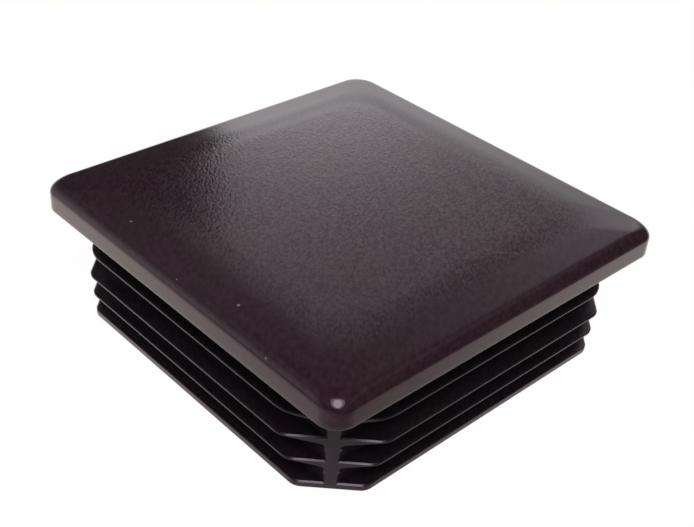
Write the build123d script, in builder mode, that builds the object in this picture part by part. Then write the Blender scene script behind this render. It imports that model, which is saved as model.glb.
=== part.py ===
"""End cap for a square tube: a bevelled head over a hollow plug whose fins grip the tube's bore.

Millimetres. +Z points out of the tube, and the origin is the middle of the seat, the flat underside
of the head that lies on the tube's cut end. The plug hangs below it.
"""
import os
from math import radians, sqrt, tan

from build123d import *

# The square tube that the cap closes
tube_width = 100.0
tube_corner_radius = 5.0
tube_wall = 3.0

# The head: an upright side, a sloping border and a flat middle
head_side_height = 6.35
head_height = 8.6
border_width = 12.0
middle_corner_radius = 9.0
middle_edge_radius = 18.0
rim_radius = 2.4
seat_edge_radius = 0.3

# The plug: a square skirt, open below, with its four corners cut flat
plug_depth = 25.3
skirt_clearance = 4.9
skirt_wall = 2.2
corner_flat_width = 2.4

# The hollow inside the skirt, which narrows towards the roof so that the mould can be drawn
roof_thickness = 3.0
hollow_draft = 1.0
hollow_corner_radius = 4.0
hollow_roof_radius = 1.5
mouth_edge_radius = 0.4

# The fins: how far each tip lies below the seat, how far it stands past the tube's bore before it
# is bent, and the radius of its turn at the corner flats
top_fin_drop = 6.3
top_fin_grip = 0.8
top_fin_turn = 10.0
middle_fin_drop = 11.6
middle_fin_grip = 1.7
middle_fin_turn = 4.5
low_fin_drop = 17.85
low_fin_grip = 0.6
low_fin_turn = 4.5
fin_tip = 0.5
fin_slope = 12.0
fin_root_radius = 1.5
fin_edge_bevel = 0.15

# The lip round the open end, which enters the tube first and so stays clear of its bore
lip_height = 1.7
lip_clearance = 0.55
lip_turn = 3.5
lip_lead_in = 0.5

# What the pieces above share
bore_reach = tube_width / 2 - tube_wall
skirt_reach = bore_reach - skirt_clearance
lip_reach = bore_reach - lip_clearance
lip_top = lip_height - plug_depth
flat_reach = skirt_reach * sqrt(2) - corner_flat_width / 2
middle_width = tube_width - 2 * border_width
mouth_width = 2 * (skirt_reach - skirt_wall)
roof_height = head_height - roof_thickness
snap = 0.01

fins = (
    (top_fin_drop, bore_reach + top_fin_grip, top_fin_turn),
    (middle_fin_drop, bore_reach + middle_fin_grip, middle_fin_turn),
    (low_fin_drop, bore_reach + low_fin_grip, low_fin_turn),
)


def fin_root(drop, reach):
    """Height at which the fin's sloping underside meets the skirt."""
    return -drop - fin_tip / 2 - (reach - skirt_reach) * tan(radians(fin_slope))


def half_section():
    """Points of the plug's section: along the seat, down the finned side and back at the open end."""
    points = [(0, 0), (skirt_reach, 0)]
    for drop, reach, _ in fins:
        points += [
            (skirt_reach, -drop + fin_tip / 2),
            (reach, -drop + fin_tip / 2),
            (reach, -drop - fin_tip / 2),
            (skirt_reach, fin_root(drop, reach)),
        ]
    points += [
        (skirt_reach, lip_top),
        (lip_reach, lip_top),
        (lip_reach, -plug_depth),
        (0, -plug_depth),
    ]
    return points


def near(shapes, height):
    """Those of the shapes whose middle lies at this height."""
    return shapes.filter_by_position(Axis.Z, height - snap, height + snap)


def level_edges(height):
    """The edges of the cap that lie level at this height."""
    return near(end_cap.edges().filter_by(Plane.XY), height)


def outer_edges(height):
    """The edges round a fin's upper face, without the four where the face meets the skirt."""
    return level_edges(height).sort_by_distance((0, 0, height))[4:]


with BuildPart() as end_cap:
    # The plug: its section run both ways, kept where the two runs cross
    for side, mode in ((Plane.XZ, Mode.ADD), (Plane.YZ, Mode.INTERSECT)):
        with BuildSketch(side):
            with BuildLine():
                Polyline(*half_section())
                mirror(about=Plane.YZ)
            make_face()
        extrude(amount=tube_width / 2, both=True, mode=mode)

    # One upright plane cuts all the fins and the skirt flat at each corner
    with BuildSketch():
        Rectangle(2 * flat_reach, 2 * flat_reach, rotation=45)
    extrude(amount=-plug_depth, mode=Mode.INTERSECT)

    # Each fin turns the corner in an arc, runs into the skirt below and has soft edges
    for drop, reach, turn in fins:
        fillet(near(end_cap.edges().filter_by(Axis.Z), -drop), radius=turn)
        fillet(level_edges(fin_root(drop, reach)), radius=fin_root_radius)
        chamfer(outer_edges(-drop + fin_tip / 2), length=fin_edge_bevel)

    # The lip does the same
    fillet(near(end_cap.edges().filter_by(Axis.Z), lip_top - lip_height / 2), radius=lip_turn)
    chamfer(outer_edges(lip_top), length=fin_edge_bevel)
    chamfer(level_edges(-plug_depth), length=lip_lead_in)

    # The head: an upright slab, then the border that slopes up to the flat middle
    with BuildSketch():
        RectangleRounded(tube_width, tube_width, tube_corner_radius)
    extrude(amount=head_side_height)
    with BuildSketch(Plane.XY.offset(head_side_height)):
        RectangleRounded(tube_width, tube_width, tube_corner_radius)
    with BuildSketch(Plane.XY.offset(head_height)):
        RectangleRounded(middle_width, middle_width, middle_corner_radius)
    loft(ruled=True)
    fillet(level_edges(head_height), radius=middle_edge_radius)
    fillet(level_edges(head_side_height), radius=rim_radius)
    seat = near(end_cap.faces().filter_by(Plane.XY), 0)[0]
    fillet(seat.outer_wire().edges(), radius=seat_edge_radius)

    # The hollow, open at the plug's end
    with BuildSketch(Plane.XY.offset(-plug_depth)):
        RectangleRounded(mouth_width, mouth_width, hollow_corner_radius)
    extrude(amount=plug_depth + roof_height, taper=hollow_draft, mode=Mode.SUBTRACT)
    fillet(level_edges(roof_height), radius=hollow_roof_radius)
    rim = end_cap.faces().filter_by(Plane.XY).sort_by(Axis.Z)[0]
    fillet(rim.inner_wires().edges(), radius=mouth_edge_radius)

end_cap.part.label = "end_cap"
os.makedirs("parts", exist_ok=True)
export_step(end_cap.part, "parts/end_cap.step")
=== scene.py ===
"""Studio picture of a square tube end cap in black plastic.

Metres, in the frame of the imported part: +Z out of the tube, origin in the middle of the seat.
"""

import math

import bpy
import numpy as np
from mathutils import Matrix, Vector


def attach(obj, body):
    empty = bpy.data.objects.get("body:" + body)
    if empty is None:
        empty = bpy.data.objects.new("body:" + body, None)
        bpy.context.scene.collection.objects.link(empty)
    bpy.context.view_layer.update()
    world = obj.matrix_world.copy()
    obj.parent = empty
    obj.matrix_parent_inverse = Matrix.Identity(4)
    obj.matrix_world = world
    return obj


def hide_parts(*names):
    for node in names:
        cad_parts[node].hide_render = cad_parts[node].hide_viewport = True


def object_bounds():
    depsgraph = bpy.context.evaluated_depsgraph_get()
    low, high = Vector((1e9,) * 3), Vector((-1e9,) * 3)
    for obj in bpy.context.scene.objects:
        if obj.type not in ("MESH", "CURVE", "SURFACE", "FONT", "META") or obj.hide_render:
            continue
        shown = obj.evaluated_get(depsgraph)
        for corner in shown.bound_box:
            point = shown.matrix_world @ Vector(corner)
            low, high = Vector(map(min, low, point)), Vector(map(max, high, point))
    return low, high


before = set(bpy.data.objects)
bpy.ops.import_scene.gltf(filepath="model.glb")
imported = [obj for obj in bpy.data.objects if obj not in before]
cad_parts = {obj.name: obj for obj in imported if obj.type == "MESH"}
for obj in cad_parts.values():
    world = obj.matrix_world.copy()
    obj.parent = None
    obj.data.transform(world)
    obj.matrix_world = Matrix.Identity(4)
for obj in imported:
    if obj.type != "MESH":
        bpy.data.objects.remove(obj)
cad_low, cad_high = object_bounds()

MM = 0.001
QUARTER_TURN = math.pi / 2

# ---------------------------------------------------------------- sizes of the moulding
HEAD_REACH = cad_high.x
HEAD_HEIGHT = cad_high.z
PLUG_END = cad_low.z
HEAD_SIDE_HEIGHT = 6.35 * MM
BORDER_WIDTH = 12 * MM
TUBE_CORNER = 5 * MM
MIDDLE_CORNER = 9 * MM
SEAT_EDGE = 0.3 * MM

# Radii in the head's section: from the level middle to the border, from the border over the rim, and
# for the last SIDE_TURN to the upright side
MIDDLE_EDGE = 50 * MM
RIM_RADIUS = 3.6 * MM
SIDE_RADIUS = 2.2 * MM
SIDE_TURN = math.radians(30)

TUBE_WALL = 3 * MM
BORE_REACH = HEAD_REACH - TUBE_WALL
SKIRT_REACH = BORE_REACH - 4.9 * MM
SKIRT_WALL = 2.2 * MM
FLAT_REACH = SKIRT_REACH * math.sqrt(2) - 1.2 * MM

# Each fin: its tip's height, its tip's reach, and the radius of its turn at the corner flats
FINS = (
    (-6.3 * MM, BORE_REACH + 0.8 * MM, 10 * MM),
    (-11.6 * MM, BORE_REACH + 1.7 * MM, 4.5 * MM),
    (-17.85 * MM, BORE_REACH + 0.6 * MM, 4.5 * MM),
)
FIN_TIP = 0.5 * MM
FIN_SLOPE = math.radians(12)
FIN_ROOT = 1.5 * MM
FIN_TOP_EDGE = 0.2 * MM
FIN_LOWER_EDGE = 0.12 * MM
FLAT_BEVEL_IN = 0.34 * MM
FLAT_BEVEL_DOWN = 0.26 * MM

LIP_TOP = PLUG_END + 1.7 * MM
LIP_REACH = BORE_REACH - 0.55 * MM
LIP_TURN = 3.5 * MM
LIP_EDGE = 0.45 * MM

MOUTH_REACH = SKIRT_REACH - SKIRT_WALL
MOUTH_EDGE = 0.4 * MM
HOLLOW_CORNER = 4 * MM
HOLLOW_DRAFT = math.radians(1)
ROOF_HEIGHT = HEAD_HEIGHT - 3 * MM
ROOF_EDGE = 1.5 * MM

# ---------------------------------------------------------------- how finely it is divided
SIDE_STEPS = 96
TURN_STEPS = 6
FLANK_STEPS = 5
POST_STEPS = 3
FACE_STEPS = 8
LARGE_ARC_STEPS = 8
ARC_STEPS = 6
EDGE_STEPS = 4
SMALL_EDGE_STEPS = 3
WALL_STEPS = 4
HOLLOW_STEPS = 6
SEAT_STEPS = 5
WELD = 1e-6
SHARP_ANGLE = math.radians(35)

CORNER_COLUMNS = 2 * TURN_STEPS + 2 * FLANK_STEPS + POST_STEPS + 1

# ---------------------------------------------------------------- how the moulding looks
# A ramp is given as its start and end, then the value before it and the value past it. Without the
# two values it is a stretch, and its values stand beside it.
HEAD_COLOUR = (0.0203, 0.0088, 0.0127)
# The plug's colour is darker than the head's. Part of that is painted shade, standing in for the shade
# under the head and between the fins.
PLUG_SHADED_COLOUR = (0.0106, 0.0068, 0.0098)
COLOUR_CHANGE = (-2 * MM, 0.0)
HUE_DRIFT = (-0.0003, 0.0006, -0.0008)
DRIFT_PER_METRE = 70
DRIFT_RANGE = (0.35, 0.65, -1.0, 1.0)
CLOUDS_PER_METRE = 960
CLOUD_RANGE = (0.3, 0.7, 0.8, 1.2)
ROUGHNESS_OVER_HEIGHT = (0.0, 2 * MM, 0.26, 0.11)
SKIN_TINT = (1.13, 0.94, 1.1, 1)

# The grain: coarser along the diagonal from near to far, and full on the level middle alone
GRAIN_SHAPE = (0.56, 1, 1)
GRAIN_PER_METRE = 1600
GRAIN_DETAIL = 1.5
GRAIN_DEPTH = 0.022 * MM
RELIEF_OVER_HEIGHT = (7.6 * MM, 8.5 * MM, 0.3, 1.0)
# The speckle is a painted sheen: grey added to the colour in the grain's pattern, standing in for the light
# that its relief catches
SPECKS_PER_METRE = 1680
SPECKLE_RANGE = (0.3, 0.7, -0.7, 1.1)
SPECKLE_OVER_HEIGHT = (7.8 * MM, 8.55 * MM, 0.002, 0.015)
SPECKLE_FROM_CORNER = (-60 * MM, 0.0, 0.5, 1.0)
SPECKLE_FROM_LEFT = (-50 * MM, -28 * MM, 0.3, 1.0)
SPECKLE_LEFT_LEAN = -0.74

# Each speck of dust: its place and its radius
DUST = (
    (-44.5 * MM, 21.8 * MM, 7.4 * MM, 0.4 * MM),
    (-44.8 * MM, -15.8 * MM, 7.35 * MM, 0.45 * MM),
    (-48.6 * MM, -0.4 * MM, 6.5 * MM, 0.35 * MM),
    (-49.7 * MM, -29.9 * MM, 5.6 * MM, 0.45 * MM),
)
DUST_CORE = 0.4
DUST_PALENESS = 0.11
# Each scratch: x and y of its middle, its turn about Z and its half length
SCRATCHES = (
    (9 * MM, -35.5 * MM, math.radians(-57), 2 * MM),
    (12 * MM, -38 * MM, math.radians(-40), 1.4 * MM),
)
SCRATCH_HALF_WIDTH = 0.16 * MM
SCRATCH_PALENESS = 0.03

# ---------------------------------------------------------------- floor, room, lamps and camera
FLOOR_REACH = 3.0
FLOOR_PAINT = (0.85, 0.85, 0.85, 1)
FLOOR_WHITE = 0.97

# How bright the floor looks in the skin, in metres from the object's middle
FLOOR_WARMTH = (1.02, 0.95, 0.89)
FLOOR_AWAY = (-0.18, 0.04, 0.2, 1.35)
FLOOR_SIDEWAYS = (-0.07, 0.07, -0.19, 0.19)
FLOOR_RIGHT_FRONT = (-0.115, -0.086, 0.13, 1.0)
FLOOR_LEFT_FRONT = (-0.15, -0.086, 0.6, 1.0)
FLOOR_BEHIND = (0.04, 0.14, 1.0, 0.8)

# The room, in degrees: around from +X towards +Y, and above the level of the floor
SOFT_LIGHT = 0.85
BACKDROP_AROUND = (4, 60, 0.0, 2.2)
BACKDROP_ABOVE = (6, 57, 1.0, 0.0)
BACKDROP_FOOT = (8, 14)
BACKDROP_FOOT_AROUND = (34, 50, 1.05, 0.7)
GLOW_CENTRE = (47, 25)
GLOW_WIDTH = (8, 4)
GLOW_BRIGHTNESS = 1.3
SIDE_CENTRE = (17, 28)
SIDE_WIDTH = (8, 14)
SIDE_BRIGHTNESS = (38, 46, 1.45, 0.9)
EDGE_AROUND = 59.25
EDGE_LEAN = -0.217
EDGE_BEND = (31, 43, 0, 14)
EDGE_SOFTNESS = (30, 42, 0.5, 6.5)
CEILING_RISE = (36, 46, 0.05, 0.23)
CEILING_FALL = (46, 58, 1.0, 0.25)
WINDOW_CENTRE = (128, 6)
WINDOW_WIDTH = (30, 23)

LAMP_AROUND = math.radians(-132)
LAMP_ABOVE = math.radians(57)
LAMP_DISTANCE = 0.5
# Each lamp: its name, its width and height in metres, and its power in watts
LAMPS = (
    ("key_lamp", 0.18, 0.32, 0.8),
    ("lamp_halo", 0.29, 0.42, 0.55),
)

CAMERA_PLACE = Vector((-154.474, -152.678, 138.207)) * MM
CAMERA_AIM = Vector((-10.455, -10.607, 0)) * MM
CAMERA_ROLL = math.radians(4.63)
SENSOR_WIDTH = 36
FOCAL_LENGTH = 57.86
NEAREST_SEEN = 10 * MM


# ---------------------------------------------------------------- the moulding as one surface
def four_sides(quarter):
    """A quarter of each ring, turned by 0, 90, 180 and 270 degrees about Z and laid end to end."""
    x, y, z = quarter
    turned = [(x, y, z), (-y, x, z), (-x, -y, z), (y, -x, z)]
    return np.concatenate([np.stack(side, axis=-1) for side in turned], axis=1)


def square_rings(reach, corner, height):
    """Rounded squares, one for each entry of the arrays.

    Along a side x = reach and y runs evenly from -(reach - corner) to reach - corner. Round the corner
    the point is (reach - corner) + corner * (cos t, sin t), with t evenly between 0 and 90 degrees.
    """
    reach, corner, height = (np.asarray(v, float)[:, None] for v in (reach, corner, height))
    along = np.linspace(-1, 1, SIDE_STEPS + 1)[None, :]
    turn = QUARTER_TURN * np.arange(1, CORNER_COLUMNS + 1)[None, :] / (CORNER_COLUMNS + 1)
    centre = reach - corner
    x = np.concatenate([reach + 0 * along, centre + corner * np.cos(turn)], axis=1)
    y = np.concatenate([centre * along, centre + corner * np.sin(turn)], axis=1)
    return four_sides((x, y, height + 0 * x))


def plug_rings(reach, flat, turn, post, height, shares):
    """Squares with flat corners, one for each entry of the arrays.

    A side lies at x = reach. It ends in an arc of 45 degrees and radius turn, which is tangent to the
    corner's upright plane x + y = flat * sqrt 2. The ring then follows that plane to the skirt, in steps
    set by shares, steps over to the plane of the post, x + y = post * sqrt 2, and crosses it. The other
    half of the corner is the same with x and y changed over.
    """
    reach, flat, turn, post, height = (
        np.broadcast_to(np.asarray(v, float), np.shape(height))[:, None]
        for v in (reach, flat, turn, post, height)
    )
    root2 = math.sqrt(2)
    along = np.linspace(-1, 1, SIDE_STEPS + 1)[None, :]
    angle = math.pi / 4 * np.arange(1, TURN_STEPS + 1)[None, :] / TURN_STEPS
    side_end = root2 * flat - reach - turn * (root2 - 1)
    arc_x = reach - turn + turn * np.cos(angle)
    arc_y = side_end + turn * np.sin(angle)

    outer = root2 * arc_x[:, -1:] - flat
    inner = root2 * SKIRT_REACH - flat
    wing = inner + (outer - inner) * shares[:, ::-1]
    half_post = root2 * SKIRT_REACH - post
    across = half_post * np.linspace(1, -1, POST_STEPS + 1)[None, :]

    wing_x, wing_y = (flat + wing) / root2, (flat - wing) / root2
    post_x, post_y = (post + across) / root2, (post - across) / root2
    x = np.concatenate(
        [reach + 0 * along, arc_x, wing_x, post_x, wing_y[:, ::-1], arc_y[:, ::-1]], axis=1
    )
    y = np.concatenate(
        [side_end * along, arc_y, wing_y, post_y, wing_x[:, ::-1], arc_x[:, ::-1]], axis=1
    )
    return four_sides((x, y, height + 0 * x))


def bend(centre_out, centre_up, radius, start, end, steps):
    """Points of an arc in the section: centre + radius * (sin t, cos t), t from start to end in degrees."""
    t = np.radians(np.linspace(start, end, steps + 1))
    return centre_out + radius * np.sin(t), centre_up + radius * np.cos(t)


def run(start, end, steps):
    """Evenly spaced values between two ends, both left out."""
    return np.linspace(start, end, steps + 1)[1:-1]


def head_rings():
    """The head's outside, from the middle of its top over the border and the rim to its seat.

    Out from the middle: level; an arc down to the border's slope; the slope; the rim's arc; a smaller
    arc, tangent to it, that ends upright; the side; a small arc in to the seat.
    """
    slope = math.atan((HEAD_HEIGHT - HEAD_SIDE_HEIGHT) / BORDER_WIDTH)
    middle_reach = HEAD_REACH - BORDER_WIDTH
    level_end = middle_reach - MIDDLE_EDGE * math.tan(slope / 2)
    step = SIDE_RADIUS - RIM_RADIUS
    rim_in = SIDE_RADIUS - step * math.cos(SIDE_TURN)
    rim_up = HEAD_SIDE_HEIGHT - (RIM_RADIUS - rim_in * math.sin(slope)) / math.cos(slope)
    side_up = rim_up - step * math.sin(SIDE_TURN)

    tilt = math.degrees(slope)
    turn = 90 - math.degrees(SIDE_TURN)
    level = np.linspace(0, level_end, FACE_STEPS + 1)[:-1]
    middle_edge = bend(level_end, HEAD_HEIGHT - MIDDLE_EDGE, MIDDLE_EDGE, 0, tilt, LARGE_ARC_STEPS)
    rim = bend(HEAD_REACH - rim_in, rim_up, RIM_RADIUS, tilt, turn, LARGE_ARC_STEPS)
    side_arc = bend(HEAD_REACH - SIDE_RADIUS, side_up, SIDE_RADIUS, turn, 90, ARC_STEPS)
    seat_edge = bend(HEAD_REACH - SEAT_EDGE, SEAT_EDGE, SEAT_EDGE, 90, 180, SMALL_EDGE_STEPS)
    border_reach = run(middle_edge[0][-1], rim[0][0], FACE_STEPS)
    border_height = run(middle_edge[1][-1], rim[1][0], FACE_STEPS)
    side_height = run(side_arc[1][-1], seat_edge[1][0], WALL_STEPS)

    reach = np.concatenate(
        [level, middle_edge[0], border_reach, rim[0], side_arc[0][1:], HEAD_REACH + 0 * side_height,
         seat_edge[0]]
    )
    height = np.concatenate(
        [HEAD_HEIGHT + 0 * level, middle_edge[1], border_height, rim[1], side_arc[1][1:], side_height,
         seat_edge[1]]
    )
    corner = np.interp(
        reach,
        [0, middle_reach, HEAD_REACH - SEAT_EDGE, HEAD_REACH],
        [0, MIDDLE_CORNER, TUBE_CORNER, TUBE_CORNER],
    )
    return square_rings(reach, corner, height)


def rib_rings(tip_top, tip_end, tip_reach, tip_turn, underside):
    """A fin or the lip: its level upper face, its soft upper edge, its upright tip, and its underside.

    At the corner flats the upper edge is a bevel: the flat plane lies FLAT_BEVEL_IN further in at the
    top, and comes out evenly over FLAT_BEVEL_DOWN. The turn's radius falls evenly to nothing where the
    rib meets the skirt. Returns the rings, and for each whether the ring before it lies in the same
    level face.
    """
    face_reach = np.linspace(SKIRT_REACH, tip_reach - FIN_TOP_EDGE, FLANK_STEPS + 1)
    edge_reach, edge_height = bend(
        tip_reach - FIN_TOP_EDGE, tip_top - FIN_TOP_EDGE, FIN_TOP_EDGE, 0, 90, EDGE_STEPS
    )
    under_reach, under_height = underside
    reach = np.concatenate([face_reach, edge_reach[1:], [tip_reach, tip_reach], under_reach])
    height = np.concatenate(
        [tip_top + 0 * face_reach, edge_height[1:], [tip_top - FLAT_BEVEL_DOWN, tip_end], under_height]
    )
    turn = tip_turn * np.clip((reach - SKIRT_REACH) / (tip_reach - SKIRT_REACH), 0, 1)
    below = np.clip((tip_top - height) / FLAT_BEVEL_DOWN, 0, 1)
    flat = FLAT_REACH - FLAT_BEVEL_IN * (1 - below)
    face_ends = face_reach - turn[: len(face_reach)] * (1 - math.sqrt(0.5))
    shares = (face_ends - face_ends[0]) / (face_ends[-1] - face_ends[0])
    same_face = (height == tip_top) & (np.arange(len(height)) > 0)
    rings = plug_rings(reach, flat, turn, FLAT_REACH, height, shares[None, :-1])
    return rings, same_face


def fin_rings(tip_height, tip_reach, tip_turn):
    """A fin, down to the skirt: below its tip the underside slopes in and runs into the skirt in an arc."""
    tip_top, tip_end = tip_height + FIN_TIP / 2, tip_height - FIN_TIP / 2
    root = tip_end - (tip_reach - SKIRT_REACH) * math.tan(FIN_SLOPE)
    slope = math.degrees(FIN_SLOPE)
    half_turn = math.tan((QUARTER_TURN - FIN_SLOPE) / 2)
    soft = FIN_LOWER_EDGE * half_turn
    edge = bend(
        tip_reach - FIN_LOWER_EDGE, tip_end + soft, FIN_LOWER_EDGE, 90, 180 - slope, SMALL_EDGE_STEPS
    )
    arc = bend(
        SKIRT_REACH + FIN_ROOT, root - FIN_ROOT * half_turn, FIN_ROOT, -slope, -90, ARC_STEPS
    )
    slope_reach = run(edge[0][-1], arc[0][0], WALL_STEPS)
    slope_height = run(edge[1][-1], arc[1][0], WALL_STEPS)
    underside = (
        np.concatenate([edge[0][1:], slope_reach, arc[0]]),
        np.concatenate([edge[1][1:], slope_height, arc[1]]),
    )
    return rib_rings(tip_top, edge[1][0], tip_reach, tip_turn, underside)


def moulding_rings():
    """All the rings in order: head, seat, skirt and fins, lip, open end, hollow and roof."""
    even = np.linspace(0, 1, FLANK_STEPS + 1)[None, :-1]

    def skirt(heights):
        """The bare skirt, with flats of no width in line with the top of the fins' bevels."""
        return plug_rings(
            SKIRT_REACH, FLAT_REACH - FLAT_BEVEL_IN, 0.0, FLAT_REACH, heights, even
        )

    head = head_rings()
    skirt_top = skirt(np.array([0.0]))
    share = run(0, 1, SEAT_STEPS)[:, None, None]
    seat = head[-1:] * (1 - share) + skirt_top * share
    rings = [head, seat, skirt_top]
    same_face = [np.zeros(len(head) + len(seat) + 1, bool)]
    last = 0.0
    for tip_height, tip_reach, tip_turn in FINS:
        fin, level = fin_rings(tip_height, tip_reach, tip_turn)
        wall = skirt(run(last, tip_height + FIN_TIP / 2, WALL_STEPS))
        last = fin[-1, 0, 2]
        rings += [wall, fin]
        same_face += [np.zeros(len(wall), bool), level]

    wall = skirt(run(last, LIP_TOP, WALL_STEPS))
    no_underside = (np.zeros(0), np.zeros(0))
    lip, level = rib_rings(LIP_TOP, PLUG_END + LIP_EDGE, LIP_REACH, LIP_TURN, no_underside)
    edge_reach, edge_height = bend(
        LIP_REACH - LIP_EDGE, PLUG_END + LIP_EDGE, LIP_EDGE, 90, 180, EDGE_STEPS
    )
    inset = LIP_REACH - edge_reach[1:]
    lip_edge = plug_rings(
        LIP_REACH - inset, FLAT_REACH - inset, LIP_TURN - inset, FLAT_REACH - inset,
        edge_height[1:], even,
    )
    rings += [wall, lip, lip_edge]
    same_face += [np.zeros(len(wall), bool), level, np.zeros(len(lip_edge), bool)]

    mouth = bend(
        MOUTH_REACH + MOUTH_EDGE, PLUG_END + MOUTH_EDGE, MOUTH_EDGE, 180, 270, SMALL_EDGE_STEPS
    )
    draft = math.tan(HOLLOW_DRAFT)
    roof_reach = MOUTH_REACH - (ROOF_HEIGHT - PLUG_END) * draft
    roof_edge = bend(roof_reach - ROOF_EDGE, ROOF_HEIGHT - ROOF_EDGE, ROOF_EDGE, 90, 0, ARC_STEPS)
    wall_height = run(mouth[1][-1], roof_edge[1][0], HOLLOW_STEPS)
    wall_reach = MOUTH_REACH - (wall_height - PLUG_END) * draft
    roof = run(roof_edge[0][-1], 0, FACE_STEPS)
    reach = np.concatenate([mouth[0], wall_reach, roof_edge[0], roof, [0.0]])
    height = np.concatenate(
        [mouth[1], wall_height, roof_edge[1], ROOF_HEIGHT + 0 * roof, [ROOF_HEIGHT]]
    )
    corner = np.where(
        reach >= roof_edge[0][-1],
        HOLLOW_CORNER + reach - MOUTH_REACH,
        reach * (HOLLOW_CORNER + roof_edge[0][-1] - MOUTH_REACH) / roof_edge[0][-1],
    )
    hollow = square_rings(reach, corner, height)
    open_end = lip_edge[-1:] * (1 - share) + hollow[:1] * share
    rings += [open_end, hollow]
    same_face += [np.zeros(len(open_end) + len(hollow), bool)]
    return np.concatenate(rings), np.concatenate(same_face)


def welded(points, faces):
    """Points closer than the weld made one, and faces freed of the corners that this doubles.

    Returns the points, and the faces that still have four or three different corners.
    """
    keys = np.round(points / WELD).astype(np.int64)
    _, first, number = np.unique(keys, axis=0, return_index=True, return_inverse=True)
    faces = number.reshape(-1)[faces]
    doubled = faces == np.roll(faces, -1, axis=1)
    squares = faces[doubled.sum(axis=1) == 0]
    folded = faces[doubled.sum(axis=1) == 1]
    gone = doubled[doubled.sum(axis=1) == 1]
    triangles = folded[~gone].reshape(-1, 3)
    return points[first], squares, triangles


def moulding_mesh():
    """Joins each ring to the next, leaving out the corner flats between rings of one level face."""
    rings, same_face = moulding_rings()
    rows, columns = rings.shape[:2]
    row, column = np.meshgrid(np.arange(rows - 1), np.arange(columns), indexing="ij")
    after = (column + 1) % columns
    faces = np.stack(
        [row * columns + column, (row + 1) * columns + column,
         (row + 1) * columns + after, row * columns + after], axis=-1,
    )
    per_quarter = columns // 4
    within = column % per_quarter
    first_flat = SIDE_STEPS + TURN_STEPS
    last_flat = per_quarter - TURN_STEPS
    on_flat = (within >= first_flat) & (within < last_flat)
    kept = ~(on_flat & same_face[1:][row])
    points, squares, triangles = welded(rings.reshape(-1, 3), faces[kept])

    mesh = bpy.data.meshes.new("end_cap_moulding")
    mesh.from_pydata(points.tolist(), [], squares.tolist() + triangles.tolist())
    mesh.validate()
    mesh.shade_smooth()
    mesh.set_sharp_from_angle(angle=SHARP_ANGLE)
    return mesh


def link(name, data):
    """A new object with this data, in the scene."""
    made = bpy.data.objects.new(name, data)
    bpy.context.scene.collection.objects.link(made)
    return made


# ---------------------------------------------------------------- materials
class Tree:
    """A material's or a world's node tree, emptied, with short ways to add to it."""

    def __init__(self, owner):
        owner.use_nodes = True
        self.nodes, self.links = owner.node_tree.nodes, owner.node_tree.links
        self.nodes.clear()

    def add(self, kind, settings=None, **inputs):
        """A node of this kind. Each input is a socket to link or a value to set."""
        node = self.nodes.new("ShaderNode" + kind)
        for name, value in (settings or {}).items():
            setattr(node, name, value)
        for name, value in inputs.items():
            self.feed(node.inputs[name.replace("_", " ")], value)
        return node

    def feed(self, socket, value):
        """Links another node's socket to this one, or sets this one to a value."""
        if isinstance(value, bpy.types.NodeSocket):
            self.links.new(value, socket)
        else:
            socket.default_value = value

    def combine(self, kind, operation, *values):
        """A node that works one operation out of the values, fed in order."""
        node = self.add(kind, {"operation": operation})
        for socket, value in zip(node.inputs, values):
            self.feed(socket, value)
        return node

    def math(self, operation, *values):
        """The number that a Math node makes of its values."""
        return self.combine("Math", operation, *values).outputs[0]

    def product(self, first, *others):
        """All the numbers multiplied."""
        for other in others:
            first = self.math("MULTIPLY", first, other)
        return first

    def total(self, first, *others):
        """All the numbers added up."""
        for other in others:
            first = self.math("ADD", first, other)
        return first

    def scaled(self, vector, factor):
        """A vector times a number."""
        node = self.add("VectorMath", {"operation": "SCALE"}, Vector=vector, Scale=factor)
        return node.outputs[0]

    def grey(self, amount):
        """A vector with the same amount in all three places."""
        return self.add("CombineXYZ", X=amount, Y=amount, Z=amount).outputs[0]

    def noise(self, place, per_metre, detail=1.0):
        """Noise around one half, with this many grains in a metre."""
        return self.add("TexNoise", Vector=place, Scale=per_metre, Detail=detail).outputs["Fac"]

    def ramp(self, value, start, end, low=0.0, high=1.0):
        """low before start, high past end, and a smooth rise or fall between."""
        node = self.add(
            "MapRange", {"interpolation_type": "SMOOTHSTEP"},
            Value=value, From_Min=start, From_Max=end, To_Min=low, To_Max=high,
        )
        return node.outputs[0]

    def bell(self, value, centre, width):
        """1 at the centre, falling off on both sides: e to the power of -((value - centre) / width)^2."""
        off = self.math("DIVIDE", self.math("SUBTRACT", value, centre), width)
        return self.math("EXPONENT", self.product(off, off, -1.0))


def drawn_out(tree, place):
    """Places squeezed along the diagonal x = y, so that a pattern on them is drawn out along it."""
    turned = tree.add("VectorRotate", {"rotation_type": "Z_AXIS"}, Vector=place, Angle=-QUARTER_TURN / 2)
    return tree.add("Mapping", Vector=turned.outputs[0], Scale=GRAIN_SHAPE).outputs[0]


def grain_relief(tree, grain_place, height):
    """The mould's fine grain as relief, weaker on the border and the sides than on the level middle."""
    grain = tree.noise(grain_place, GRAIN_PER_METRE, GRAIN_DETAIL)
    strength = tree.ramp(height, *RELIEF_OVER_HEIGHT)
    return tree.add("Bump", Strength=strength, Distance=GRAIN_DEPTH, Height=grain).outputs["Normal"]


def painted_grain_sheen(tree, grain_place, x, y, height):
    """Grey speckle in the grain's pattern: a painted sheen, standing in for the light that the grain's
    relief catches. It fades out over the border, to the near corner and on the left, where the skin mirrors
    less light.
    """
    to_left = tree.math("MULTIPLY_ADD", y, SPECKLE_LEFT_LEAN, x)
    amount = tree.product(
        tree.ramp(height, *SPECKLE_OVER_HEIGHT),
        tree.ramp(tree.total(x, y), *SPECKLE_FROM_CORNER),
        tree.ramp(to_left, *SPECKLE_FROM_LEFT),
    )
    specks = tree.noise(grain_place, SPECKS_PER_METRE)
    return tree.product(tree.ramp(specks, *SPECKLE_RANGE), amount)


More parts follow.
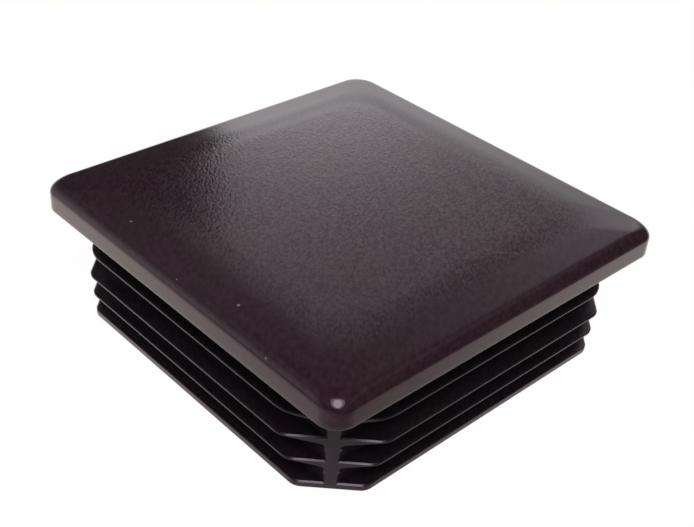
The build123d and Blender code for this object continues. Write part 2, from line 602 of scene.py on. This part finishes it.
def body_colour(tree, place, grain_place, height):
    """The plug's colour below the seat, darkened with painted shade for the faces between the fins, and the
    head's above it, drifting in hue and clouded in shade.
    """
    red, green, blue = (
        tree.ramp(height, *COLOUR_CHANGE, low, high) for low, high in zip(PLUG_SHADED_COLOUR, HEAD_COLOUR)
    )
    plain = tree.add("CombineXYZ", X=red, Y=green, Z=blue).outputs[0]
    drift = tree.ramp(tree.noise(place, DRIFT_PER_METRE), *DRIFT_RANGE)
    drifted = tree.combine("VectorMath", "ADD", plain, tree.scaled(HUE_DRIFT, drift)).outputs[0]
    clouds = tree.noise(grain_place, CLOUDS_PER_METRE)
    return tree.scaled(drifted, tree.ramp(clouds, *CLOUD_RANGE))


def dust(tree, place):
    """Pale specks of dust on the border and the rim, as an amount to add to the colour."""
    amount = 0.0
    for x, y, z, size in DUST:
        away = tree.combine("VectorMath", "DISTANCE", place, (x, y, z)).outputs["Value"]
        speck = tree.ramp(away, DUST_CORE * size, size, DUST_PALENESS, 0.0)
        amount = tree.math("MAXIMUM", amount, speck)
    return amount


def scratches(tree, place):
    """Fine pale scratches on the head, as an amount to add to the colour."""
    amount = 0.0
    for x, y, turn, length in SCRATCHES:
        there = tree.add(
            "Mapping", {"vector_type": "TEXTURE"}, Vector=place,
            Location=(x, y, HEAD_HEIGHT), Rotation=(0, 0, turn),
        ).outputs[0]
        along, across, _ = tree.add("SeparateXYZ", Vector=there).outputs
        line = tree.product(
            tree.bell(along, 0.0, length),
            tree.bell(across, 0.0, SCRATCH_HALF_WIDTH),
            SCRATCH_PALENESS,
        )
        amount = tree.math("MAXIMUM", amount, line)
    return amount


def black_plastic():
    """Moulded black plastic: purplish dark grey, with a skin that is glossier on the head."""
    material = bpy.data.materials.new("black_plastic")
    tree = Tree(material)
    place = tree.add("TexCoord").outputs["Object"]
    x, y, height = tree.add("SeparateXYZ", Vector=place).outputs
    grain_place = drawn_out(tree, place)

    body = body_colour(tree, place, grain_place, height)
    marks = tree.math("MAXIMUM", dust(tree, place), scratches(tree, place))
    # The grain's painted sheen, with the dust and the scratches, added to the colour as grey
    paler = tree.total(painted_grain_sheen(tree, grain_place, x, y, height), marks)
    colour = tree.combine("VectorMath", "ADD", body, tree.grey(paler)).outputs[0]
    shader = tree.add(
        "BsdfPrincipled", Base_Color=colour, Roughness=tree.ramp(height, *ROUGHNESS_OVER_HEIGHT),
        Specular_Tint=SKIN_TINT, Normal=grain_relief(tree, grain_place, height),
    )
    tree.add("OutputMaterial", Surface=shader.outputs["BSDF"])
    return material


def seen_directly(tree):
    """1 for rays from the camera and for those mirrored to it, 0 for the light that falls on things."""
    path = tree.add("LightPath").outputs
    seen = tree.math("MAXIMUM", path["Is Camera Ray"], path["Is Glossy Ray"])
    return tree.math("MAXIMUM", seen, path["Is Transmission Ray"])


def mirrored_floor(tree):
    """How bright the floor looks in the skin: dim in front, brighter towards the back and the left."""
    x, y, _ = tree.add("SeparateXYZ", Vector=tree.add("TexCoord").outputs["Object"]).outputs
    away = tree.total(x, y)
    sideways = tree.math("SUBTRACT", y, x)
    return tree.product(
        tree.total(tree.ramp(away, *FLOOR_AWAY), tree.ramp(sideways, *FLOOR_SIDEWAYS)),
        tree.ramp(y, *FLOOR_RIGHT_FRONT),
        tree.ramp(x, *FLOOR_LEFT_FRONT),
        tree.ramp(away, *FLOOR_BEHIND),
    )


def pale_floor():
    """A pale matt floor, nearly white where it is seen, which keeps a faint shadow of the object."""
    material = bpy.data.materials.new("pale_floor")
    tree = Tree(material)
    matt = tree.add("BsdfDiffuse", Color=FLOOR_PAINT)
    glossy = tree.add("LightPath").outputs["Is Glossy Ray"]
    mirrored = mirrored_floor(tree)
    red, green, blue = (
        tree.add("Mix", Factor=glossy, A=1.0, B=tree.product(mirrored, warmth)).outputs["Result"]
        for warmth in FLOOR_WARMTH
    )
    white = tree.add("Emission", Color=tree.add("CombineXYZ", X=red, Y=green, Z=blue).outputs[0])
    mixed = tree.add("MixShader", Fac=tree.product(seen_directly(tree), FLOOR_WHITE))
    tree.links.new(matt.outputs[0], mixed.inputs[1])
    tree.links.new(white.outputs[0], mixed.inputs[2])
    tree.add("OutputMaterial", Surface=mixed.outputs[0])
    return material


def patch(tree, around, above, centre, width):
    """A soft oval patch of light with its centre in this direction."""
    return tree.product(
        tree.bell(around, centre[0], width[0]), tree.bell(above, centre[1], width[1])
    )


def backdrop(tree, around, above):
    """A backdrop behind the object, brighter to the left and lower down, but for its foot on the left.

    It has a glow in its middle and a patch of light on the right. On the left it ends in an edge, which
    is sharp low down, and bends outwards and grows soft higher up.
    """
    foot = tree.ramp(above, *BACKDROP_FOOT, tree.ramp(around, *BACKDROP_FOOT_AROUND), 1.0)
    spread = tree.product(
        tree.ramp(around, *BACKDROP_AROUND), tree.ramp(above, *BACKDROP_ABOVE), foot
    )
    glow = tree.product(patch(tree, around, above, GLOW_CENTRE, GLOW_WIDTH), GLOW_BRIGHTNESS)
    side = tree.product(
        patch(tree, around, above, SIDE_CENTRE, SIDE_WIDTH), tree.ramp(above, *SIDE_BRIGHTNESS)
    )
    lean = tree.math("MULTIPLY_ADD", above, EDGE_LEAN, EDGE_AROUND)
    edge = tree.total(lean, tree.ramp(above, *EDGE_BEND))
    past_edge = tree.math(
        "DIVIDE", tree.math("SUBTRACT", around, edge), tree.ramp(above, *EDGE_SOFTNESS)
    )
    return tree.product(tree.total(side, spread, glow), tree.ramp(past_edge, -1.0, 1.0, 1.0, 0.0))


def studio_world():
    """White to the camera, plain soft light on things, and a room for the skin to mirror.

    The room has the backdrop, a dim ceiling, and a wide soft window low down on the left.
    """
    world = bpy.data.worlds.new("studio")
    tree = Tree(world)
    x, y, z = tree.add("SeparateXYZ", Vector=tree.add("TexCoord").outputs["Generated"]).outputs
    around = tree.math("DEGREES", tree.math("ARCTAN2", y, x))
    above = tree.math("DEGREES", tree.math("ARCSINE", z))
    ceiling = tree.product(tree.ramp(above, *CEILING_RISE), tree.ramp(above, *CEILING_FALL))
    window = patch(tree, around, above, WINDOW_CENTRE, WINDOW_WIDTH)
    room = tree.total(backdrop(tree, around, above), ceiling, window)

    path = tree.add("LightPath").outputs
    level = tree.add("Mix", Factor=path["Is Glossy Ray"], A=SOFT_LIGHT, B=room).outputs["Result"]
    level = tree.add("Mix", Factor=path["Is Camera Ray"], A=level, B=1.0).outputs["Result"]
    light = tree.add("Background", Strength=level)
    tree.add("OutputWorld", Surface=light.outputs[0])
    return world


# ---------------------------------------------------------------- floor, light and camera
def floor_mesh():
    """One large square, level with the plug's open end."""
    mesh = bpy.data.meshes.new("floor")
    corners = [(-1, -1), (1, -1), (1, 1), (-1, 1)]
    points = [(x * FLOOR_REACH, y * FLOOR_REACH, PLUG_END) for x, y in corners]
    mesh.from_pydata(points, [], [(0, 1, 2, 3)])
    return mesh


def lamp(name, width, height, power):
    """An oval lamp in the lamps' place, facing the object."""
    light = bpy.data.lights.new(name, "AREA")
    light.shape = "ELLIPSE"
    light.size, light.size_y, light.energy = width, height, power
    level = math.cos(LAMP_ABOVE)
    away = Vector((math.cos(LAMP_AROUND) * level, math.sin(LAMP_AROUND) * level, math.sin(LAMP_ABOVE)))
    made = link(name, light)
    made.location = away * LAMP_DISTANCE
    made.rotation_euler = away.to_track_quat("Z", "Y").to_euler()


def studio_camera():
    """The camera in its place, looking at its aim and rolled a little about that line."""
    camera = link("camera", bpy.data.cameras.new("camera"))
    camera.data.sensor_width = SENSOR_WIDTH
    camera.data.lens = FOCAL_LENGTH
    camera.data.clip_start = NEAREST_SEEN
    level = (CAMERA_AIM - CAMERA_PLACE).to_track_quat("-Z", "Y").to_matrix()
    turned = (level @ Matrix.Rotation(CAMERA_ROLL, 3, "Z")).to_4x4()
    camera.matrix_world = Matrix.Translation(CAMERA_PLACE) @ turned
    return camera


# ---------------------------------------------------------------- the scene
moulding = link("end_cap_moulding", moulding_mesh())
moulding.data.materials.append(black_plastic())
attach(moulding, "root")
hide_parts("end_cap")

floor = link("floor", floor_mesh())
floor.data.materials.append(pale_floor())

for name, width, height, power in LAMPS:
    lamp(name, width, height, power)

scene = bpy.context.scene
scene.world = studio_world()
scene.camera = studio_camera()
scene.view_settings.view_transform = "Standard"
